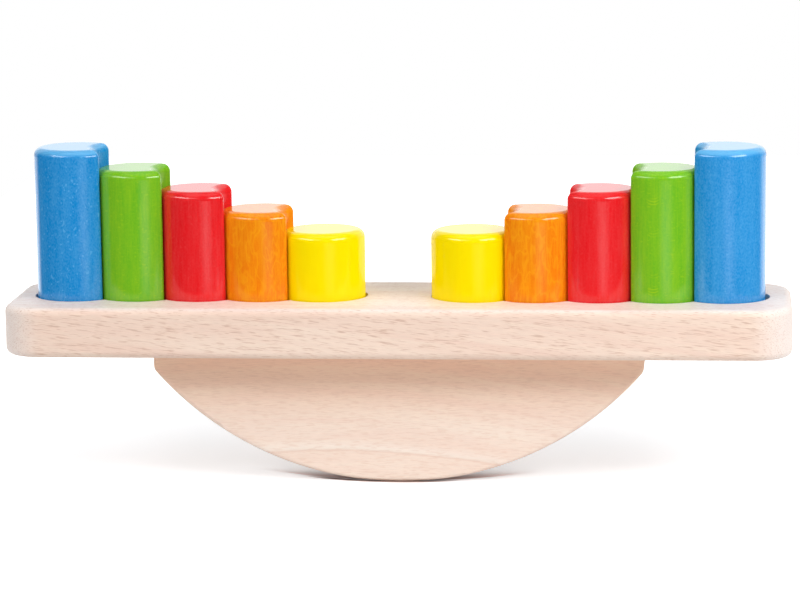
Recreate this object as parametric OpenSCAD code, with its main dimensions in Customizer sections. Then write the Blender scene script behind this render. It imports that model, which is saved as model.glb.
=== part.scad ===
// Wooden balance toy: a beech board on an arc-shaped rocker, with two rows
// of five lift-out blocks that nest into each other and stand in two slots.
// Millimetres, +Z up, +X along the board. The origin is the middle of the
// rocker's foot, on the table and midway between its front and rear faces.

/* [Board] */
// Length of the board from end to end
board_length = 376; // [370:1:420]
// Depth of the board from front to rear
board_depth = 84; // [70:1:110]
// Thickness of the board
board_thickness = 24; // [21:0.5:32]
// Radius of the board's upright corners
corner_radius = 18; // [8:0.5:30]
// Radius of the rounding on the board's top and bottom edges
board_rounding = 3.5; // [1:0.25:6]

/* [Slots] */
// Distance from the board's middle to the centre of the nearest block
first_centre = 36.5; // [24:0.5:38]
// Depth of the slots below the board's top
slot_depth = 7.5; // [4:0.5:9]
// Gap between the blocks and the wall of their slot
slot_gap = 1.2; // [0.4:0.1:2]
// Share of that gap by which the right row has slid towards the middle
slide_share = 0.75; // [0:0.05:0.75]

/* [Blocks] */
// Diameter of every block
block_diameter = 40; // [36:0.5:44]
// Distance between the centres of neighbouring blocks
block_pitch = 30; // [27:0.5:32]
// Height of the shortest blocks, the yellow ones
shortest_block = 40; // [30:1:60]
// Height that each block has over its shorter neighbour
block_step = 10; // [4:0.5:15]
// Radius of the rounding on the blocks' top and bottom edges
block_rounding = 4; // [1:0.25:5]
// Gap between a block and the hollow flank of its neighbour
nest_gap = 0.5; // [0.3:0.05:1]
// Radius of the upright tips beside each hollow flank
tip_radius = 2.4; // [1:0.1:3]

/* [Rocker] */
// Radius of the arc that the toy rocks on
rocker_radius = 155; // [145:1:180]
// Length of the rocker between its upright ends
rocker_length = 236; // [200:1:250]
// Depth of the rocker from front to rear
rocker_depth = 35; // [28:0.5:60]
// Height of the rocker, from the table to the board
rocker_height = 64; // [58:0.5:70]
// Length of the narrow flat sanded on the arc's lowest line
foot_flat = 16; // [8:1:24]
// Radius of the corner between the arc and each upright end
rocker_corner = 6; // [3:0.5:10]
// Radius of the rounding on the rocker's front and rear edges
rocker_rounding = 1.75; // [0.5:0.25:3]

/* [Dowels] */
// Diameter of the wooden dowels between rocker and board
dowel_diameter = 8; // [6:0.5:10]
// Distance from the middle dowel to each outer one
dowel_spacing = 80; // [50:1:95]
// Depth of the dowel holes in the board's underside
dowel_in_board = 10; // [6:0.5:11]
// Depth of the dowel holes in the rocker's top
dowel_in_rocker = 20; // [12:0.5:24]
// Gap all round a dowel in its holes, filled by the glue
dowel_gap = 0.05; // [0.02:0.01:0.2]
// Room left beyond each end of a dowel
dowel_end_room = 0.5; // [0.2:0.1:1]
// Chamfer on the ends of the dowels
dowel_chamfer = 1; // [0.5:0.1:1.5]

/* [Hidden] */
$fn = 96;
// overrun that carries a cut past the face it opens
overrun = 2;
beech = [0.95, 0.85, 0.77];
block_radius = block_diameter / 2;
board_top = rocker_height + board_thickness;
slot_floor = board_top - slot_depth;
slot_radius = block_radius + slot_gap;
// places of the five blocks of a row, counted outwards from the yellow one
places = [0:4];
function block_centre(place) = first_centre + place * block_pitch;
function block_height(place) = shortest_block + place * block_step;
// share of its radius by which a small arc stands proud of the lines it joins, to cross them cleanly
proud_share = 0.012;
// a block's hollow flank, and the centre of the small tip that ends it
hollow_radius = block_radius + nest_gap;
tip_inset = tip_radius * (1 - proud_share);
tip_reach = block_radius - tip_inset;
tip_x = (tip_reach ^ 2 - (hollow_radius + tip_inset) ^ 2 + block_pitch ^ 2) / (2 * block_pitch);
tip_y = sqrt(tip_reach ^ 2 - tip_x ^ 2);
// height of the arc's centre, a little under its radius because the foot is flat
arc_centre_z = sqrt(rocker_radius ^ 2 - (foot_flat / 2) ^ 2);
// centre of the small arc between the rocker's arc and its upright end
corner_inset = rocker_corner * (1 - proud_share);
corner_x = rocker_length / 2 - corner_inset;
corner_z = arc_centre_z - sqrt((rocker_radius - corner_inset) ^ 2 - corner_x ^ 2);

// half outline of a round slab with rounded rims, ready to be spun
module slab_outline(radius, height, rounding) {
    core = radius - rounding;
    intersection() {
        square([radius, height]);
        union() {
            square([core, height]);
            translate([0, rounding]) square([radius, height - 2 * rounding]);
            for (z = [rounding, height - rounding]) translate([core, z]) circle(rounding);
        }
    }
}

// a round slab or post that stands on its own centre
module round_slab(radius, height, rounding) {
    rotate_extrude() slab_outline(radius, height, rounding);
}

// outline of a bar's end: a rectangle whose four corners are round
module bar_outline(width, height, rounding) {
    translate([rounding - width / 2, 0]) square([width - 2 * rounding, height]);
    translate([-width / 2, rounding]) square([width, height - 2 * rounding]);
    for (x = [rounding - width / 2, width / 2 - rounding], z = [rounding, height - rounding])
        translate([x, z]) circle(rounding);
}

// a kite with one corner at the origin that covers the directions between two angles
module wedge(from, to, reach) {
    middle = (from + to) / 2;
    length = reach / cos((to - from) / 2);
    polygon([
        [0, 0],
        length * [cos(from), sin(from)],
        length * [cos(middle), sin(middle)] / cos((to - from) / 2),
        length * [cos(to), sin(to)]
    ]);
}

// bores for the dowels, from the joint down into the rocker and up into the board
module dowel_bores() {
    for (side = [-1, 0, 1])
        translate([side * dowel_spacing, 0, rocker_height - dowel_in_rocker])
            cylinder(h = dowel_in_rocker + dowel_in_board, r = dowel_diameter / 2 + dowel_gap);
}

// one slot's five round seats, cut into each other, on the right of the board
module slot() {
    for (place = places)
        translate([block_centre(place), 0, slot_floor])
            cylinder(h = slot_depth + overrun, r = slot_radius);
}

module board() {
    straight_x = board_length - 2 * corner_radius;
    straight_y = board_depth - 2 * corner_radius;
    color(beech) difference() {
        translate([0, 0, rocker_height]) union() {
            for (x = [-straight_x / 2, straight_x / 2], y = [-straight_y / 2, straight_y / 2])
                translate([x, y, 0]) round_slab(corner_radius, board_thickness, board_rounding);
            translate([-straight_x / 2, 0, 0]) rotate([90, 0, 90])
                linear_extrude(straight_x) bar_outline(board_depth, board_thickness, board_rounding);
            translate([0, straight_y / 2, 0]) rotate([90, 0, 0])
                linear_extrude(straight_y) bar_outline(board_length, board_thickness, board_rounding);
        }
        slot();
        mirror([1, 0, 0]) slot();
        dowel_bores();
    }
}

// a disc with rounded rims that lies on its side, its axis along Y
module rolling_disc(radius) {
    translate([0, rocker_depth / 2, 0]) rotate([90, 0, 0])
        round_slab(radius, rocker_depth, rocker_rounding, $fn = 360);
}

// what is sanded off the corner between the rocker's arc and its right end
module corner_waste() {
    from = atan2(corner_z - arc_centre_z, corner_x);
    translate([corner_x, 0, corner_z]) difference() {
        translate([0, rocker_depth / 2 + overrun, 0]) rotate([90, 0, 0])
            linear_extrude(rocker_depth + 2 * overrun) wedge(from, 0, 2 * rocker_corner);
        rolling_disc(rocker_corner);
        rotate([90, 0, 0])
            cylinder(h = rocker_depth + 4 * overrun, r = rocker_corner - rocker_rounding, center = true);
    }
}

module rocker() {
    color(beech) difference() {
        intersection() {
            translate([0, 0, arc_centre_z]) rolling_disc(rocker_radius);
            linear_extrude(rocker_height) translate([0, -rocker_depth / 2])
                bar_outline(rocker_length, rocker_depth, rocker_rounding);
        }
        for (side = [0, 1]) mirror([side, 0, 0]) corner_waste();
        dowel_bores();
    }
}

module dowel(side) {
    length = dowel_in_board + dowel_in_rocker - 2 * dowel_end_room;
    radius = dowel_diameter / 2;
    color([0.86, 0.72, 0.56])
        translate([side * dowel_spacing, 0, rocker_height - dowel_in_rocker + dowel_end_room])
            rotate_extrude() polygon([
                [0, 0],
                [radius - dowel_chamfer, 0],
                [radius, dowel_chamfer],
                [radius, length - dowel_chamfer],
                [radius - dowel_chamfer, length],
                [0, length]
            ]);
}

module dowel_left() { dowel(-1); }
module dowel_middle() { dowel(0); }
module dowel_right() { dowel(1); }

// the cutter for a hollow flank, flared so that the flank's ends are rounded too
module hollow_cutter(height) {
    rotate_extrude() union() {
        translate([0, -overrun]) square([hollow_radius, height + 2 * overrun]);
        difference() {
            union() {
                translate([0, -overrun]) square([hollow_radius + block_rounding, block_rounding + overrun]);
                translate([0, height - block_rounding])
                    square([hollow_radius + block_rounding, block_rounding + overrun]);
            }
            for (z = [block_rounding, height - block_rounding])
                translate([hollow_radius + block_rounding, z]) circle(block_rounding);
        }
    }
}

// a post with the tip's radius, whose rims are as round as the block's own
module tip_post(height) {
    rotate_extrude() intersection() {
        translate([tip_radius - block_radius, 0]) slab_outline(block_radius, height, block_rounding);
        square([tip_radius, height]);
    }
}

// what is sanded off the sharp edge between the block's side and its hollow flank
module tip_waste(height) {
    from = atan2(-tip_y, block_pitch - tip_x);
    to = atan2(tip_y, tip_x);
    translate([tip_x, tip_y, 0]) difference() {
        translate([0, 0, -overrun]) linear_extrude(height + 2 * overrun)
            wedge(from, to, 2 * tip_radius + block_rounding);
        tip_post(height);
    }
}

// a block whose right flank is hollowed for its shorter neighbour
module nested_block(height) {
    difference() {
        round_slab(block_radius, height, block_rounding);
        translate([block_pitch, 0, 0]) hollow_cutter(height);
        for (side = [0, 1]) mirror([0, side, 0]) tip_waste(height);
    }
}

// puts a block of the left row at its place on the slot's floor
module seat_left(place) {
    translate([-block_centre(place), 0, slot_floor]) children();
}

// the right row is the left one seen in a mirror, slid a little towards the middle
module seat_right(place) {
    mirror([1, 0, 0]) translate([slot_gap * slide_share, 0, 0]) seat_left(place) children();
}

module yellow_block() { color([1, 0.90, 0.05]) round_slab(block_radius, block_height(0), block_rounding); }
module orange_block() { color([0.95, 0.53, 0.09]) nested_block(block_height(1)); }
module red_block() { color([0.91, 0.14, 0.16]) nested_block(block_height(2)); }
module green_block() { color([0.45, 0.73, 0.16]) nested_block(block_height(3)); }
module blue_block() { color([0.20, 0.58, 0.83]) nested_block(block_height(4)); }

module yellow_block_left() { seat_left(0) yellow_block(); }
module orange_block_left() { seat_left(1) orange_block(); }
module red_block_left() { seat_left(2) red_block(); }
module green_block_left() { seat_left(3) green_block(); }
module blue_block_left() { seat_left(4) blue_block(); }
module yellow_block_right() { seat_right(0) yellow_block(); }
module orange_block_right() { seat_right(1) orange_block(); }
module red_block_right() { seat_right(2) red_block(); }
module green_block_right() { seat_right(3) green_block(); }
module blue_block_right() { seat_right(4) blue_block(); }

board();
rocker();
dowel_left();
dowel_middle();
dowel_right();
yellow_block_left();
orange_block_left();
red_block_left();
green_block_left();
blue_block_left();
yellow_block_right();
orange_block_right();
red_block_right();
green_block_right();
blue_block_right();
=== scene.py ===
import math

import bpy
from mathutils import Matrix, Vector

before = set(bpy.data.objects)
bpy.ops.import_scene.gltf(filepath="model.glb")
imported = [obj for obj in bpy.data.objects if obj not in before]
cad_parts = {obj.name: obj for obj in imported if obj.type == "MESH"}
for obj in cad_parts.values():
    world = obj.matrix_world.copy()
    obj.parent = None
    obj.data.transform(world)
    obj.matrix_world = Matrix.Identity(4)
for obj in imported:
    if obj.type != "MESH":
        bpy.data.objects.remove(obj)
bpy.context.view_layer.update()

# The camera stands low in front of the toy, a little to its right, with a long lens.
# Its place, turn and lens come from a fit to the toy's edges in the photograph.
camera_place = (0.15718, -1.62192, 0.36543)
camera_turn = math.radians(5.529)
camera_tip = math.radians(-9.741)
camera_roll = math.radians(-0.738)
camera_lens = 154.2
camera_film = 36
camera_reach = 50

camera_data = bpy.data.cameras.new("camera")
camera_data.lens = camera_lens
camera_data.sensor_width = camera_film
camera_data.clip_end = camera_reach
camera = bpy.data.objects.new("camera", camera_data)
bpy.context.collection.objects.link(camera)
camera.matrix_world = (
    Matrix.Translation(camera_place)
    @ Matrix.Rotation(camera_turn, 4, "Z")
    @ Matrix.Rotation(math.pi / 2 + camera_tip, 4, "X")
    @ Matrix.Rotation(camera_roll, 4, "Z")
)
bpy.context.scene.camera = camera
bpy.context.scene.view_settings.view_transform = "Standard"

# The table is a smooth white sheet a little wider than the toy, as under a product photo. It takes
# the toy's soft shadow and glows white away from it. Under the foot its colour is painted a darker
# rosy shade, as of light thrown back by the wood, and a thin dark line of painted shadow runs along
# the foot's front edge, where the rolling arc leaves the sheet.
table_side = 0.40
table_front = -0.36
table_back = 1.2
table_white = (0.735, 0.745, 0.765, 1)
painted_rosy_shade = (0.80, 0.54, 0.50, 1)
painted_shadow_line_tint = (0.24, 0.15, 0.12, 1)
# part of the glow stays in the toy's shadow, and the rest comes in across an oval round the foot
glow_in_shadow = 0.46
glow_oval = (0.31, 0.21)
glow_starts = 0.7
glow_is_full = 1.9
# where the foot's own shade ends: beside it, before it and behind it
foot_middle = -0.008
foot_front = -0.0175
foot_bend = 0.2
shade_beside = (0.03, 0.085)
shade_before = 0.004
shade_behind = (-0.013, 0.012)
# how far the painted shadow line reaches before, behind and beside the foot
line_before = 0.0035
line_behind = 0.005
line_beside = (0.022, 0.045)


class Finish:
    """The nodes of one material, lamp or room, which are added and joined one by one."""

    def __init__(self, owner, output="ShaderNodeOutputMaterial"):
        self.owner = owner
        owner.use_nodes = True
        self.nodes = owner.node_tree.nodes
        self.links = owner.node_tree.links
        self.nodes.clear()
        self.output = self.nodes.new(output)

    def add(self, kind, inputs=None, **settings):
        new = self.nodes.new(kind)
        for setting, value in settings.items():
            setattr(new, setting, value)
        for socket, value in (inputs or {}).items():
            if isinstance(value, bpy.types.NodeSocket):
                self.links.new(value, new.inputs[socket])
            else:
                new.inputs[socket].default_value = value
        return new

    def math(self, operation, first, second=0.0):
        """One sum, such as ADD or MULTIPLY, on numbers or on what other nodes give."""
        return self.add("ShaderNodeMath", {0: first, 1: second}, operation=operation).outputs[0]

    def ramp(self, value, low, high, to_low=0.0, to_high=1.0, smooth=False):
        """Runs from to_low to to_high while the value runs from low to high, and stops there."""
        return self.add("ShaderNodeMapRange", {
            "Value": value, "From Min": low, "From Max": high, "To Min": to_low, "To Max": to_high},
            interpolation_type="SMOOTHSTEP" if smooth else "LINEAR").outputs[0]

    def blend(self, share, one, other, way="MIX"):
        """One colour, with this share of the other laid over it."""
        return self.add("ShaderNodeMix", {
            0: share, 6: one, 7: other}, data_type="RGBA", blend_type=way).outputs[2]

    def parts(self, vector):
        """The X, Y and Z of a place or a direction."""
        return self.add("ShaderNodeSeparateXYZ", {0: vector}).outputs

    def place(self):
        """Where a spot lies on the toy at rest, in metres."""
        return self.add("ShaderNodeTexCoord").outputs["Object"]

    def surface(self, shader):
        self.links.new(shader.outputs[0], self.output.inputs["Surface"])


sheet = Finish(bpy.data.materials.new("table_sheet"))
sheet_place = sheet.place()
sheet_part = sheet.parts(sheet_place)

off_middle = sheet.math("ABSOLUTE", sheet.math("SUBTRACT", sheet_part["X"], foot_middle))
arc_bend = sheet.math("DIVIDE", sheet.math("MULTIPLY", sheet_part["X"], sheet_part["X"]), foot_bend)
to_front = sheet.math("SUBTRACT", sheet.math("ADD", foot_front, arc_bend), sheet_part["Y"])
# a thin dark line of painted shadow along the foot's front edge
line_across = sheet.ramp(off_middle, line_beside[1], line_beside[0], smooth=True)
line_depth = sheet.math(
    "MULTIPLY",
    sheet.ramp(to_front, line_before, 0, smooth=True),
    sheet.ramp(to_front, -line_behind, 0, smooth=True))
painted_shadow_line = sheet.math("MULTIPLY", line_across, line_depth)

beside_foot = sheet.ramp(off_middle, *shade_beside, smooth=True)
before_foot = sheet.ramp(to_front, -shade_before, 0, smooth=True)
behind_foot = sheet.ramp(sheet_part["Y"], *shade_behind, smooth=True)
out_of_shade = sheet.math("MAXIMUM", beside_foot, sheet.math("MAXIMUM", before_foot, behind_foot))
clear_of_foot = sheet.math("MINIMUM", sheet.math("SUBTRACT", 1.0, painted_shadow_line), out_of_shade)

on_oval = sheet.add("ShaderNodeVectorMath", {0: sheet_place, 1: (*glow_oval, 1)}, operation="DIVIDE")
from_foot = sheet.add("ShaderNodeVectorMath", {0: on_oval.outputs[0]}, operation="LENGTH").outputs["Value"]
near_glow = sheet.math("MULTIPLY", clear_of_foot, glow_in_shadow)
far_glow = sheet.ramp(from_foot, glow_starts, glow_is_full, 0.0, 1 - glow_in_shadow, smooth=True)
glow = sheet.math("ADD", near_glow, far_glow)
sheet_seen = sheet.add("ShaderNodeLightPath").outputs
seen_or_mirrored = sheet.math("MAXIMUM", sheet_seen["Is Camera Ray"], sheet_seen["Is Glossy Ray"])
sheet_shown = sheet.math("MAXIMUM", seen_or_mirrored, sheet_seen["Is Transmission Ray"])
sheet_glow = sheet.add("ShaderNodeEmission", {
    "Color": (1, 1, 1, 1), "Strength": sheet.math("MULTIPLY", glow, sheet_shown)})

# under the foot the sheet's colour is painted a darker rosy shade, as of light from the wood
sheet_tint = sheet.blend(clear_of_foot, painted_rosy_shade, table_white)
sheet_matt = sheet.add("ShaderNodeBsdfDiffuse", {"Color": sheet.blend(painted_shadow_line, sheet_tint, painted_shadow_line_tint)})
sheet.surface(sheet.add("ShaderNodeAddShader", {0: sheet_matt.outputs[0], 1: sheet_glow.outputs[0]}))

table_corners = [
    (-table_side, table_front, 0),
    (table_side, table_front, 0),
    (table_side, table_back, 0),
    (-table_side, table_back, 0),
]
table_mesh = bpy.data.meshes.new("table")
table_mesh.from_pydata(table_corners, [], [(0, 1, 2, 3)])
table_mesh.materials.append(sheet.owner)
table = bpy.data.objects.new("table", table_mesh)
bpy.context.collection.objects.link(table)

# The studio has cloth softboxes overhead, behind, and at both sides in front, with white cards that
# fill in from the front, from low down and behind the ends. The room is white behind the toy, which
# the lacquer mirrors, and dark behind the camera.
softboxes = {
    "overhead_softbox": dict(
        place=(0.0, -0.15, 1.4), aim=(0, 0, 0.05), width=1.8, height=1.3, radiance=0.66, edge=0.22),
    "left_softbox": dict(
        place=(-0.96, -0.83, 0.90), aim=(0, 0, 0.09), width=1.35, height=0.48, radiance=6.9, edge=0.26),
    "front_card": dict(
        place=(-0.42, -1.25, 0.98), aim=(0, 0, 0.09), width=1.1, height=0.48, radiance=2.2, edge=0.4),
    "right_softbox": dict(
        place=(0.66, -0.51, 0.61), aim=(0, 0, 0.09), width=0.8, height=0.36, radiance=9.4, edge=0.22),
    "backdrop_softbox": dict(
        place=(0, 1.6, 0.42), aim=(0, 0, 0.12), width=3.2, height=0.6, radiance=0.4, edge=0.22),
    "low_card": dict(
        place=(0.42, -1.05, -0.06), aim=(0, 0, 0.1), width=1.0, height=0.24, radiance=1.4, edge=0.5),
    "left_rim_card": dict(
        place=(-0.83, 0.86, -0.1), aim=(0, 0, 0.1), width=1.3, height=0.4, radiance=1.2, edge=0.4),
    "right_rim_card": dict(
        place=(0.83, 0.86, -0.1), aim=(0, 0, 0.1), width=1.3, height=0.4, radiance=1.2, edge=0.4),
}
cloth_middle = 0.5
# the room's light on matt wood, and how bright the lacquer mirrors the room
fill_behind = 0.50
fill_in_front = 0.27
fill_from_right = 0.14
fill_lift = 0.7
fill_turn = (-0.25, 0.25)
mirrored_behind = 0.86
mirrored_in_front = 0.04
mirrored_turn = (0.42, 0.62)

for name, box in softboxes.items():
    lamp = bpy.data.lights.new(name, "AREA")
    lamp.shape = "RECTANGLE"
    lamp.size = box["width"]
    lamp.size_y = box["height"]
    lamp.energy = box["radiance"] * math.pi * box["width"] * box["height"]
    # the cloth of a softbox is brightest in its middle and fades towards its edges
    cloth = Finish(lamp, "ShaderNodeOutputLight")
    cloth_part = cloth.parts(cloth.add("ShaderNodeNewGeometry").outputs["Parametric"])
    fades = []
    for across in (cloth_part["X"], cloth_part["Y"]):
        from_middle = cloth.math("ABSOLUTE", cloth.math("SUBTRACT", across, cloth_middle))
        fades.append(cloth.ramp(from_middle, cloth_middle, cloth_middle - box["edge"], smooth=True))
    cloth.surface(cloth.add("ShaderNodeEmission", {
        "Color": (1, 1, 1, 1), "Strength": cloth.math("MULTIPLY", *fades)}))
    softbox = bpy.data.objects.new(name, lamp)
    bpy.context.collection.objects.link(softbox)
    softbox.location = box["place"]
    facing_toy = Vector(box["aim"]) - Vector(box["place"])
    softbox.rotation_euler = facing_toy.to_track_quat("-Z", "Y").to_euler()

world = bpy.data.worlds.new("white_room")
bpy.context.scene.world = world
room = Finish(world, "ShaderNodeOutputWorld")
look = room.parts(room.add("ShaderNodeTexCoord").outputs["Generated"])
up_and_back = room.math("ADD", look["Y"], room.math("MULTIPLY", look["Z"], fill_lift))
fill = room.math(
    "ADD",
    room.ramp(room.ramp(up_and_back, *fill_turn, smooth=True), 0, 1, fill_in_front, fill_behind),
    room.math("MULTIPLY", look["X"], fill_from_right))
mirrored = room.ramp(
    room.ramp(look["Y"], *mirrored_turn, smooth=True), 0, 1, mirrored_in_front, mirrored_behind)
room_seen = room.add("ShaderNodeLightPath").outputs
glossy = room.math("MAXIMUM", room_seen["Is Glossy Ray"], room_seen["Is Transmission Ray"])
room_light = room.add("ShaderNodeMix", {0: glossy, 2: fill, 3: mirrored}).outputs[0]
room_white = room.add("ShaderNodeMix", {0: room_seen["Is Camera Ray"], 2: room_light, 3: 1.0}).outputs[0]
room.surface(room.add("ShaderNodeBackground", {"Color": (1, 1, 1, 1), "Strength": room_white}))

# The rocker is a segment sawn from a thick pale beech plank, sanded and oiled. Its grain runs along
# the toy and arches with the year rings, one of which shows low down as a thin line below pale early
# wood. Towards its top its colour is painted browner and darker, a painted shade under the board's
# overhang, and its arc is what rests on the table.
beech_bands = dict(size=(0.11, 0.006), detail=2.5, distortion=0.4)
band_range = (0.36, 0.64)
beech_fibres = dict(size=(0.006, 0.0005), start=(3, 1, 7), detail=3)
fibre_range = (0.3, 0.7)
fibre_tones = (0.965, 1.035)
beech_pores = dict(start=(11, 5, 2), detail=1.0, distortion=0.2)
pore_dent = 0.0001
pore_dent_share = 0.2
sanded_roughness = 0.6
oiled_roughness = 0.4
ring_waves = dict(size=(0.03, 0.03), start=(5, 2, 8), detail=1.0)


def srgb(red, green, blue):
    """A colour as it is read off a screen, 0 to 255, as the renderer's own numbers."""
    screen = (red / 255, green / 255, blue / 255)
    return tuple(v / 12.92 if v <= 0.04045 else ((v + 0.055) / 1.055) ** 2.4 for v in screen) + (1,)


def beech(name, cream, rose, pore, start, pore_size, pore_range, pore_share,
          tilt=0.0, ring=None, painted_above=None, ends=None, oil=0.15):
    """Pale beech with its grain along X: soft rosy growth bands, fine fibres and short brown pores."""
    wood = Finish(bpy.data.materials.new(name))
    place = wood.place()
    part = wood.parts(place)

    def grain(size, start, detail, distortion=0.0, source=place):
        """Noise whose marks are about this long and this thick, in metres."""
        long, thick = size
        laid = wood.add("ShaderNodeMapping", {
            "Vector": source, "Location": start, "Rotation": (0, tilt, 0), "Scale": (long, thick, thick)},
            vector_type="TEXTURE")
        noise = wood.add("ShaderNodeTexNoise", {
            "Vector": laid.outputs[0], "Scale": 1.0, "Detail": detail, "Distortion": distortion})
        return noise.outputs["Fac"]

    ringed = place
    if ring:
        # how far each spot is from the tree's heart, which the bands go round
        run = wood.math("SUBTRACT", part["X"], ring["heart"][0])
        rise = wood.math("SUBTRACT", part["Z"], ring["heart"][1])
        from_heart = wood.math(
            "SQRT", wood.math("ADD", wood.math("MULTIPLY", run, run), wood.math("MULTIPLY", rise, rise)))
        ringed = wood.add("ShaderNodeCombineXYZ", {0: part["X"], 1: part["Y"], 2: from_heart}).outputs[0]
    bands = wood.ramp(grain(start=start, source=ringed, **beech_bands), *band_range)
    tone = wood.blend(bands, cream, rose)
    if painted_above:
        # painted light above a height: a tint over the wood that stands in for shade or sheen there
        above = wood.ramp(part["Z"], painted_above["start"], painted_above["full"], smooth=True)
        tone = wood.blend(1.0, tone, wood.blend(above, (1, 1, 1, 1), painted_above["painted_tint"]), way="MULTIPLY")
    if ring:
        wobble = wood.ramp(grain(**ring_waves), 0.0, 1.0, -ring["wobble"], ring["wobble"])
        from_ring = wood.math("ADD", wood.math("SUBTRACT", from_heart, ring["radius"]), wobble)
        early_side = wood.ramp(from_ring, ring["early"], 0.0, 0.0, ring["early_share"], smooth=True)
        early = wood.math("MULTIPLY", early_side, wood.math("GREATER_THAN", from_ring, 0.0))
        line = wood.ramp(wood.math("ABSOLUTE", from_ring), ring["line"], 0.0, 0.0, ring["line_share"])
        tone = wood.blend(line, wood.blend(early, tone, ring["early_tone"]), pore)
    if ends:
        # towards its sawn ends the colour is painted paler, a painted sheen of light glancing off them
        off_centre = wood.math("ABSOLUTE", part["X"])
        near_end = wood.ramp(off_centre, ends["start"], ends["full"], 0.0, ends["share"], smooth=True)
        tone = wood.blend(near_end, tone, ends["tone"])
    fibres = wood.ramp(grain(**beech_fibres), *fibre_range, *fibre_tones)
    grey = wood.add("ShaderNodeCombineColor", {0: fibres, 1: fibres, 2: fibres}).outputs[0]
    pores = wood.ramp(grain(pore_size, **beech_pores), *pore_range, 0.0, pore_share)
    tone = wood.blend(pores, wood.blend(1.0, tone, grey, way="MULTIPLY"), pore)
    dent = wood.add("ShaderNodeBump", {
        "Strength": pore_dent_share, "Distance": pore_dent, "Height": pores}, invert=True)
    wood.surface(wood.add("ShaderNodeBsdfPrincipled", {
        "Base Color": tone, "Roughness": sanded_roughness, "Normal": dent.outputs[0],
        "Coat Weight": oil, "Coat Roughness": oiled_roughness}))
    return wood.owner


def dress(node, material):
    """Gives a construction piece its finish."""
    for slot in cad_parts[node].material_slots:
        slot.material = material


rocker_ring = dict(
    heart=(-0.031, -0.467), radius=0.4822, wobble=0.0006,
    line=0.0010, line_share=0.32,
    early=0.006, early_share=0.6, early_tone=srgb(255, 243, 232))
# a painted warm shade over the rocker's top, where the board overhangs it
rocker_painted_shade = dict(start=0.022, full=0.058, painted_tint=(1.04, 0.89, 0.77, 1))
rocker_beech = beech(
    "rocker_beech", cream=srgb(252, 233, 217), rose=srgb(249, 225, 209), pore=srgb(220, 176, 148),
    start=(0.3, 4.1, 0.7), pore_size=(0.0042, 0.0006), pore_range=(0.50, 0.70), pore_share=0.24,
    ring=rocker_ring, painted_above=rocker_painted_shade)
dress("rocker", rocker_beech)

# Three dowels are glued in bores between the rocker and the board, hidden once the toy
# is together. They are plain unfinished beech rod.
dowel_beech = beech(
    "dowel_beech", cream=srgb(235, 210, 180), rose=srgb(228, 200, 170), pore=srgb(200, 165, 135),
    start=(2.3, 1.1, 5.7), pore_size=(0.006, 0.0009), pore_range=(0.54, 0.68), pore_share=0.5)
for side in ("left", "middle", "right"):
    dress(f"dowel_{side}", dowel_beech)

# The board is one pale beech plank with rounded corners and edges. Two rows of overlapping round
# slots are routed into its top, and it is sanded and oiled. Its top face and ends are painted a little
# paler, a painted sheen of the light they catch, and its pores lean with the grain.
# a painted pale sheen on the board's top face
board_top_painted_sheen = dict(start=0.0862, full=0.0879, painted_tint=(1.02, 1.13, 1.26, 1))
# a painted pale sheen towards the board's ends
board_ends_painted_sheen = dict(start=0.166, full=0.186, tone=srgb(248, 238, 232), share=0.75)
board_beech = beech(
    "board_beech", cream=srgb(246, 222, 204), rose=srgb(241, 211, 193), pore=srgb(188, 132, 94),
    start=(1.9, 0.4, 3.3), pore_size=(0.0060, 0.00036), pore_range=(0.57, 0.70), pore_share=0.46,
    tilt=math.radians(6), painted_above=board_top_painted_sheen, ends=board_ends_painted_sheen, oil=0.2)
dress("board", board_beech)

# The blocks are turned from beech with upright grain, stained, and lacquered to a gloss that is
# thinner in the hollow flank, where the next shorter block nests. Each colour has one block at
# either side, which stands loose in its slot.
stains = {
    "yellow": dict(
        stain=srgb(255, 229, 0), pale=srgb(255, 237, 12), fibre=0.2, side_shine=0.35),
    "orange": dict(
        stain=srgb(240, 120, 10), pale=srgb(252, 170, 26), fibre=0.4, mottle=0.2,
        figure=0.55, side_shine=0.45),
    "red": dict(
        stain=srgb(234, 20, 28), pale=srgb(240, 84, 84), fibre=0.14, mottle=0.12, dot=0.15),
    "green": dict(
        stain=srgb(104, 186, 34), pale=srgb(172, 210, 36), fibre=0.18, mottle=0.16,
        dot=0.3, dot_size=(0.0020, 0.0008)),
    # the blue is painted paler on its top and rounded rim, a painted sheen
    "blue": dict(
        stain=srgb(0, 136, 212), pale=srgb(104, 184, 234), fibre=0.04, mottle=0.26,
        dot=0.5, dot_size=(0.0012, 0.0014), painted_top_sheen=0.8),
}
# the size of the stain's marks, and the range of the noise in which each comes in
stain_clouds = dict(width=0.005, length=0.035, detail=2)
cloud_range = (0.35, 0.65)
stain_fibres = dict(width=0.0009, length=0.012, detail=2)
stain_fibre_range = (0.40, 0.66)
stain_mottles = dict(width=0.0008, length=0.0011, detail=1)
mottle_range = (0.35, 0.65)
dot_detail = 0
dot_range = (0.70, 0.78)
curls = dict(width=0.003, length=0.009, detail=1, distortion=0.5)
curl_middle = 0.5
curl_line = 0.08
# where the painted top sheen comes in, by how far the face turns up
painted_sheen_from = 0.25
painted_sheen_full = 0.65
# the lacquer is thinner on some colours' sides, and full from the rounded rim up
rim_starts = 0.05
rim_is_full = 0.3
hollow_edge = (0.0006, 0.0014)
hollow_shine = 0.3
stained_roughness = 0.5
lacquer_roughness = 0.11
lacquer_index = 1.5
# two exceptions on the right: nested arcs on the green block, where its turned face just grazes
# the year rings, and a blue block that took the stain less, but more evenly
green_arcs = dict(
    middle=0.1224, width=0.0034, sag=0.0013, pitch=0.0014, share=0.7, line=0.3, line_at=0.5, fade=0.4,
    patch=dict(width=0.02, length=0.007, detail=1), patch_range=(0.53, 0.62))
right_blue = dict(wash=0.08, dot=0.2)


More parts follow.
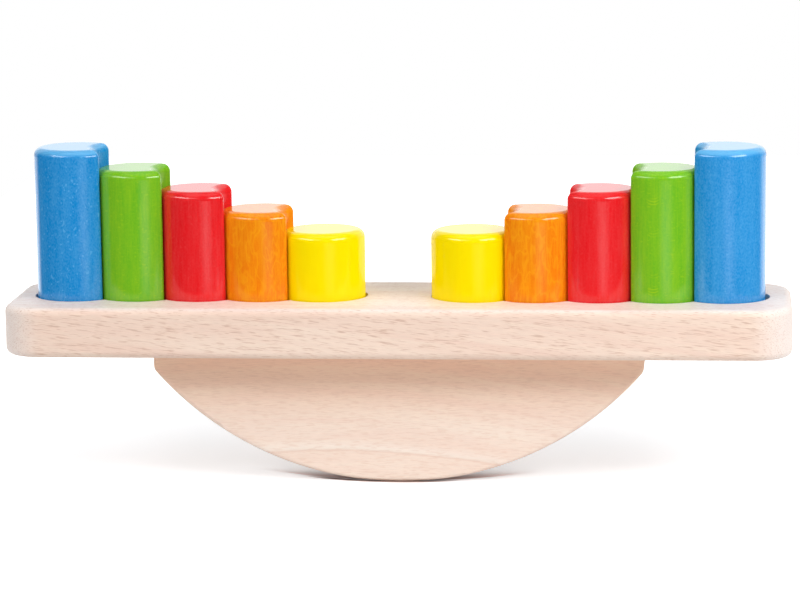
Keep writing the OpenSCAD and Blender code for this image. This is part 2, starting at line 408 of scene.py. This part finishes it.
def lacquer(name, stain, pale, fibre=0.0, mottle=0.0, dot=0.0, dot_size=(0.0013, 0.0016), figure=0.0,
            painted_top_sheen=0.0, wash=0.0, side_shine=1.0, hollow_round=None, reach=None, arcs=None):
    """Stain that took unevenly on upright grain, under a clear glossy coat."""
    wood = Finish(bpy.data.materials.new(name))
    place = wood.place()
    part = wood.parts(place)
    facing = wood.parts(wood.add("ShaderNodeTexCoord").outputs["Normal"])

    def grain(width, length, detail, distortion=0.0):
        """Noise whose marks are about this wide and, upwards, this long."""
        laid = wood.add("ShaderNodeMapping", {
            "Vector": place, "Scale": (width, width, length)}, vector_type="TEXTURE")
        noise = wood.add("ShaderNodeTexNoise", {
            "Vector": laid.outputs[0], "Scale": 1.0, "Detail": detail, "Distortion": distortion})
        return noise.outputs["Fac"]

    # each share is how far the pale wood shows through the stain
    shares = [
        wood.ramp(grain(**stain_clouds), *cloud_range, 0.0, (fibre + mottle) / 2),
        wood.ramp(grain(**stain_fibres), *stain_fibre_range, 0.0, fibre),
    ]
    if mottle:
        shares.append(wood.ramp(grain(**stain_mottles), *mottle_range, 0.0, mottle))
    if dot:
        shares.append(wood.ramp(grain(*dot_size, dot_detail), *dot_range, 0.0, dot))
    if figure:
        # curly pale lines, where the grain runs in and out of the turned face
        off_curl = wood.math("ABSOLUTE", wood.math("SUBTRACT", grain(**curls), curl_middle))
        shares.append(wood.ramp(off_curl, curl_line, 0.0, 0.0, figure))
    if arcs:
        across = wood.math("DIVIDE", wood.math("SUBTRACT", part["X"], arcs["middle"]), arcs["width"])
        bowl = wood.math("MULTIPLY", wood.math("MULTIPLY", across, across), arcs["sag"])
        turns = wood.math("DIVIDE", wood.math("SUBTRACT", part["Z"], bowl), arcs["pitch"])
        in_pitch = wood.math("FRACT", turns)
        off_line = wood.math("ABSOLUTE", wood.math("SUBTRACT", in_pitch, arcs["line_at"]))
        line = wood.ramp(off_line, arcs["line"], 0.0, smooth=True)
        near = wood.ramp(wood.math("ABSOLUTE", across), 1.0, arcs["fade"], smooth=True)
        here = wood.ramp(grain(**arcs["patch"]), *arcs["patch_range"], 0.0, arcs["share"])
        shares.append(wood.math("MULTIPLY", wood.math("MULTIPLY", line, near), here))
    if painted_top_sheen:
        # painted paler on the top and its rounded rim, a painted sheen of the white room they mirror
        shares.append(wood.ramp(facing["Z"], painted_sheen_from, painted_sheen_full, 0.0, painted_top_sheen, smooth=True))
    tone = tuple(deep + (light - deep) * wash for deep, light in zip(stain, pale))
    for share in shares:
        tone = wood.blend(share, tone, pale)
    coat = wood.ramp(facing["Z"], rim_starts, rim_is_full, side_shine, 1.0, smooth=True)
    if hollow_round is not None:
        # less lacquer reaches the hollow flank, which goes round the neighbour's axis
        run = wood.math("SUBTRACT", part["X"], hollow_round)
        depth = wood.math("MULTIPLY", part["Y"], part["Y"])
        from_axis = wood.math("SQRT", wood.math("ADD", wood.math("MULTIPLY", run, run), depth))
        inside = reach + hollow_edge[0]
        outside = reach + hollow_edge[1]
        coat = wood.ramp(from_axis, inside, outside, hollow_shine, coat, smooth=True)
    wood.surface(wood.add("ShaderNodeBsdfPrincipled", {
        "Base Color": tone, "Roughness": stained_roughness, "Specular IOR Level": 0.0,
        "Coat Weight": coat, "Coat Roughness": lacquer_roughness, "Coat IOR": lacquer_index}))
    return wood.owner


for side, outwards in (("left", -1), ("right", 1)):
    neighbour_axis = None
    for colour, stain in stains.items():
        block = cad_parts[f"{colour}_block_{side}"]
        radius = block.dimensions.y / 2
        finish = dict(stain, hollow_round=neighbour_axis, reach=radius)
        if (colour, side) == ("green", "right"):
            finish["arcs"] = green_arcs
        if (colour, side) == ("blue", "right"):
            finish.update(right_blue)
        dress(f"{colour}_block_{side}", lacquer(f"{colour}_{side}_lacquer", **finish))
        # its outer side is a full round, so its axis lies a radius inside that
        neighbour_axis = outwards * (max(outwards * corner[0] for corner in block.bound_box) - radius)
